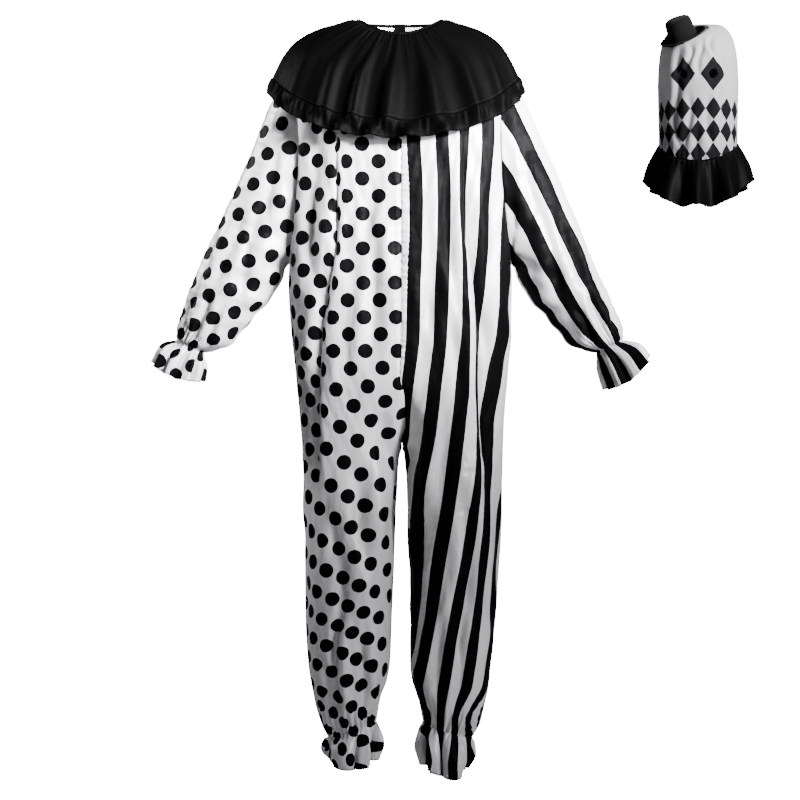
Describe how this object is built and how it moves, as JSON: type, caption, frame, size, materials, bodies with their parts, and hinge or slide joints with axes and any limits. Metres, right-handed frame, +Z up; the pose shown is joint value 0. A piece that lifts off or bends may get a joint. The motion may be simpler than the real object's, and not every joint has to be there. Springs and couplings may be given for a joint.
{
  "type": "clown costume",
  "caption": "Two-sided clown jumpsuit, dotted and striped, with gathered cape collar, frilled cuffs, and a hood mask with a little hat.",
  "frame": {"origin": "middle of the neck at the height of the shoulders, where the wearer holds the costume up", "axes": "+Z up from the ankles to the neck, front towards -Y, striped half on +X"},
  "size_m": [1.1976, 0.326, 1.5154],
  "materials": {
    "dotted_satin": "white satin with black dots, soft sheen",
    "striped_satin": "satin with black and white stripes, soft sheen",
    "black_satin": "black satin, soft sheen",
    "white_jersey": "matt white jersey with black harlequin print",
    "black_felt": "matt black felt"
  },
  "bodies": {
    "root": {"front_dotted": "dotted_satin", "back_dotted": "dotted_satin", "sleeve_dotted": "dotted_satin", "wrist_ruffle_dotted": "dotted_satin", "ankle_ruffle_dotted": "dotted_satin", "front_placket": "dotted_satin", "front_striped": "striped_satin", "back_striped": "striped_satin", "sleeve_striped": "striped_satin", "wrist_ruffle_striped": "striped_satin", "ankle_ruffle_striped": "striped_satin", "collar": "black_satin", "collar_flounce": "black_satin", "neckband": "black_satin", "neck_tab": "black_satin", "hood_flounce": "black_satin", "hood_face": "white_jersey", "hood_back": "white_jersey", "hat_crown": "black_felt", "hat_brim": "black_felt"}
  },
  "joints": []
}
